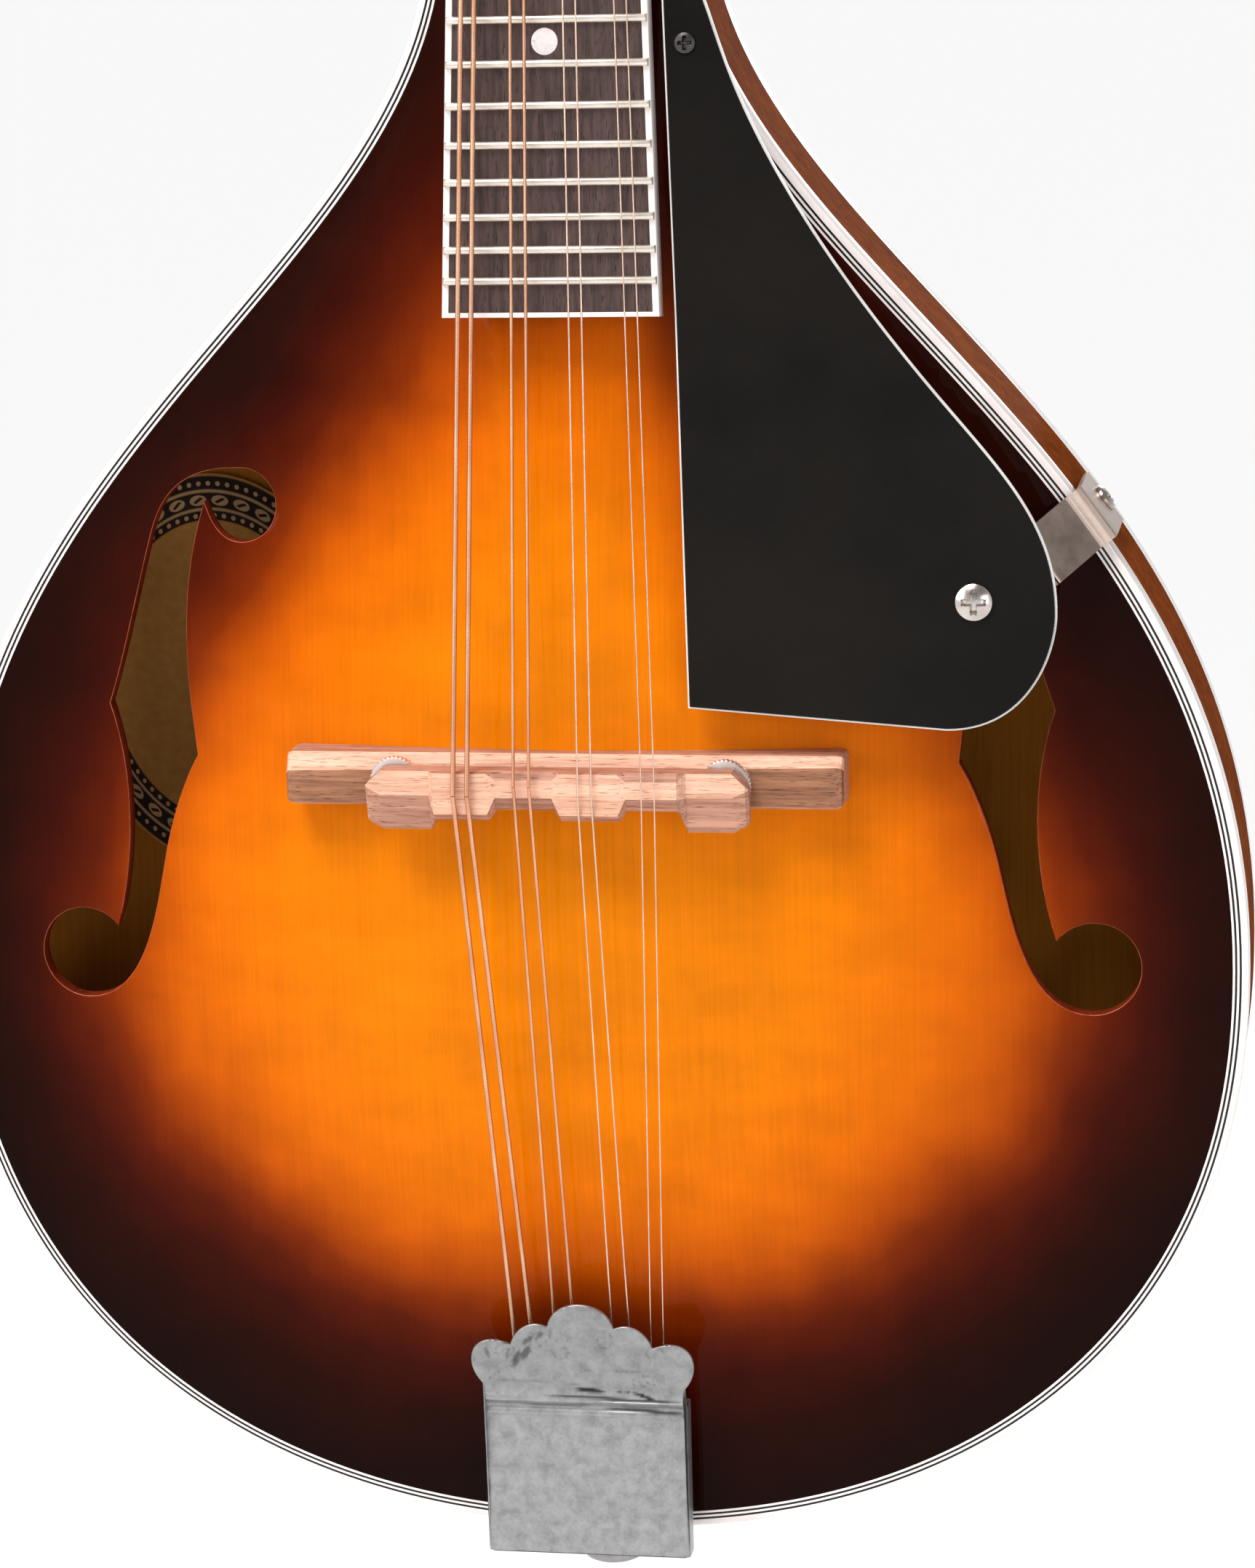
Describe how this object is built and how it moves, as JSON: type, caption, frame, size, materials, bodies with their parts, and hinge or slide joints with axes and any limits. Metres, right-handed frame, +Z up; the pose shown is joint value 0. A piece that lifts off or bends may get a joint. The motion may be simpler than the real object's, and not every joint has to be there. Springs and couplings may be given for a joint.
{
  "type": "mandolin",
  "caption": "Teardrop arched-top mandolin with f-holes, height-adjustable bridge, sliding tailpiece cover, pickguard, fretted neck and paired strings on worm-geared tuners.",
  "frame": {"origin": "middle of the neck at the nut, on the instrument's centre plane, where a hanger's yoke holds it under the headstock", "axes": "+Z up along the string length towards the headstock, -Y the way the soundboard faces, +X the treble side"},
  "size_m": [0.271, 0.0997, 0.6698],
  "materials": {
    "sunburst_top": "gloss amber sunburst lacquer over spruce, red-brown to near black at the edge",
    "maple": "gloss brown lacquer over maple",
    "binding": "polished ivory-white binding with black and white plies",
    "inner_wood": "bare inside wood",
    "label_paper": "aged paper with an ornamental border",
    "neck_wood": "gloss brown lacquer",
    "black_veneer": "gloss black",
    "rosewood": "oiled dark rosewood",
    "bridge_rosewood": "bare pale pink-brown rosewood",
    "nut_bone": "polished bone",
    "nickel": "bright nickel plate, slightly brushed",
    "tailpiece_nickel": "dull pressed nickel with an engraved lip",
    "fret_nickel": "polished nickel silver",
    "steel": "dark steel",
    "pickguard_plastic": "gloss black with a white edge line",
    "pearl": "pearl dot",
    "button": "polished cream",
    "wound_string": "bronze winding",
    "plain_string": "plain tinned steel"
  },
  "bodies": {
    "root": {"soundboard": "sunburst_top", "back_plate": "maple", "bass_rib": "maple", "treble_rib": "maple", "top_binding": "binding", "back_binding": "binding", "neck_block": "inner_wood", "tail_block": "inner_wood", "top_lining": "inner_wood", "back_lining": "inner_wood", "bass_tone_bar": "inner_wood", "treble_tone_bar": "inner_wood", "label": "label_paper", "neck": "neck_wood", "headstock_veneer": "black_veneer", "truss_rod": "steel", "truss_rod_cover": "pickguard_plastic", "fingerboard": "rosewood", "fingerboard_binding": "binding", "nut": "nut_bone", "bridge_base": "bridge_rosewood", "bass_bridge_post": "nickel", "treble_bridge_post": "nickel", "tailpiece_base": "nickel", "end_pin": "nickel", "pickguard": "pickguard_plastic", "pickguard_bracket": "nickel", "pickguard_screw": "nickel", "bracket_screw": "nickel", "pickguard_pin": "steel", "string_g1": "wound_string", "string_g2": "wound_string", "string_d1": "wound_string", "string_d2": "wound_string", "string_a1": "plain_string", "string_a2": "plain_string", "string_e1": "plain_string", "string_e2": "plain_string", "bass_tuner_plate": "nickel", "treble_tuner_plate": "nickel"},
    "saddle": {"bridge_saddle": "bridge_rosewood"},
    "bass_thumbwheel": {"bass_thumbwheel": "nickel"},
    "treble_thumbwheel": {"treble_thumbwheel": "nickel"},
    "tailpiece_cover": {"tailpiece_cover": "tailpiece_nickel"},
    "bass_key_1": {"bass_key_1": "button"},
    "bass_post_1": {"bass_post_1": "nickel"},
    "bass_key_2": {"bass_key_2": "button"},
    "bass_post_2": {"bass_post_2": "nickel"},
    "bass_key_3": {"bass_key_3": "button"},
    "bass_post_3": {"bass_post_3": "nickel"},
    "bass_key_4": {"bass_key_4": "button"},
    "bass_post_4": {"bass_post_4": "nickel"},
    "treble_key_1": {"treble_key_1": "button"},
    "treble_post_1": {"treble_post_1": "nickel"},
    "treble_key_2": {"treble_key_2": "button"},
    "treble_post_2": {"treble_post_2": "nickel"},
    "treble_key_3": {"treble_key_3": "button"},
    "treble_post_3": {"treble_post_3": "nickel"},
    "treble_key_4": {"treble_key_4": "button"},
    "treble_post_4": {"treble_post_4": "nickel"}
  },
  "joints": [
    {"name": "saddle_lift", "type": "slide", "parent": "root", "child": "saddle", "axis": [0, -1, 0], "range_m": [-0.0006, 0.003], "deforming": ["string_g1", "string_g2", "string_d1", "string_d2", "string_a1", "string_a2", "string_e1", "string_e2"]},
    {"name": "bass_thumbwheel_turn", "type": "hinge", "parent": "saddle", "child": "bass_thumbwheel", "pos_m": [-0.0333, -0.033, -0.3375], "axis": [0, -1, 0], "range_deg": [-300, 1400]},
    {"name": "treble_thumbwheel_turn", "type": "hinge", "parent": "saddle", "child": "treble_thumbwheel", "pos_m": [0.0333, -0.033, -0.3375], "axis": [0, -1, 0], "range_deg": [-300, 1400]},
    {"name": "tailpiece_cover_slide", "type": "slide", "parent": "root", "child": "tailpiece_cover", "axis": [0, -0.1587, 0.9873], "range_m": [0, 0.045]},
    {"name": "bass_key_1_turn", "type": "hinge", "parent": "root", "child": "bass_key_1", "pos_m": [-0.03, 0.02197, 0.02695], "axis": [-1, 0, 0], "continuous": true},
    {"name": "bass_post_1_turn", "type": "hinge", "parent": "root", "child": "bass_post_1", "pos_m": [-0.0215, 0.00739, 0.04031], "axis": [0, -0.9511, 0.309], "continuous": true},
    {"name": "bass_key_2_turn", "type": "hinge", "parent": "root", "child": "bass_key_2", "pos_m": [-0.03, 0.02908, 0.04882], "axis": [-1, 0, 0], "continuous": true},
    {"name": "bass_post_2_turn", "type": "hinge", "parent": "root", "child": "bass_post_2", "pos_m": [-0.0215, 0.01449, 0.06218], "axis": [0, -0.9511, 0.309], "continuous": true},
    {"name": "bass_key_3_turn", "type": "hinge", "parent": "root", "child": "bass_key_3", "pos_m": [-0.03, 0.03619, 0.0707], "axis": [-1, 0, 0], "continuous": true},
    {"name": "bass_post_3_turn", "type": "hinge", "parent": "root", "child": "bass_post_3", "pos_m": [-0.0215, 0.0216, 0.08406], "axis": [0, -0.9511, 0.309], "continuous": true},
    {"name": "bass_key_4_turn", "type": "hinge", "parent": "root", "child": "bass_key_4", "pos_m": [-0.03, 0.04329, 0.09257], "axis": [-1, 0, 0], "continuous": true},
    {"name": "bass_post_4_turn", "type": "hinge", "parent": "root", "child": "bass_post_4", "pos_m": [-0.0215, 0.02871, 0.10593], "axis": [0, -0.9511, 0.309], "continuous": true},
    {"name": "treble_key_1_turn", "type": "hinge", "parent": "root", "child": "treble_key_1", "pos_m": [0.03, 0.02197, 0.02695], "axis": [1, 0, 0], "continuous": true},
    {"name": "treble_post_1_turn", "type": "hinge", "parent": "root", "child": "treble_post_1", "pos_m": [0.0215, 0.00739, 0.04031], "axis": [0, -0.9511, 0.309], "continuous": true},
    {"name": "treble_key_2_turn", "type": "hinge", "parent": "root", "child": "treble_key_2", "pos_m": [0.03, 0.02908, 0.04882], "axis": [1, 0, 0], "continuous": true},
    {"name": "treble_post_2_turn", "type": "hinge", "parent": "root", "child": "treble_post_2", "pos_m": [0.0215, 0.01449, 0.06218], "axis": [0, -0.9511, 0.309], "continuous": true},
    {"name": "treble_key_3_turn", "type": "hinge", "parent": "root", "child": "treble_key_3", "pos_m": [0.03, 0.03619, 0.0707], "axis": [1, 0, 0], "continuous": true},
    {"name": "treble_post_3_turn", "type": "hinge", "parent": "root", "child": "treble_post_3", "pos_m": [0.0215, 0.0216, 0.08406], "axis": [0, -0.9511, 0.309], "continuous": true},
    {"name": "treble_key_4_turn", "type": "hinge", "parent": "root", "child": "treble_key_4", "pos_m": [0.03, 0.04329, 0.09257], "axis": [1, 0, 0], "continuous": true},
    {"name": "treble_post_4_turn", "type": "hinge", "parent": "root", "child": "treble_post_4", "pos_m": [0.0215, 0.02871, 0.10593], "axis": [0, -0.9511, 0.309], "continuous": true}
  ],
  "couplings": [
    {"joint": "bass_thumbwheel_turn", "follows": "saddle_lift", "rad_per_m": 7854},
    {"joint": "treble_thumbwheel_turn", "follows": "saddle_lift", "rad_per_m": 7854},
    {"joint": "bass_post_1_turn", "follows": "bass_key_1_turn", "ratio": 0.071429},
    {"joint": "bass_post_2_turn", "follows": "bass_key_2_turn", "ratio": 0.071429},
    {"joint": "bass_post_3_turn", "follows": "bass_key_3_turn", "ratio": 0.071429},
    {"joint": "bass_post_4_turn", "follows": "bass_key_4_turn", "ratio": 0.071429},
    {"joint": "treble_post_1_turn", "follows": "treble_key_1_turn", "ratio": -0.071429},
    {"joint": "treble_post_2_turn", "follows": "treble_key_2_turn", "ratio": -0.071429},
    {"joint": "treble_post_3_turn", "follows": "treble_key_3_turn", "ratio": -0.071429},
    {"joint": "treble_post_4_turn", "follows": "treble_key_4_turn", "ratio": -0.071429}
  ]
}
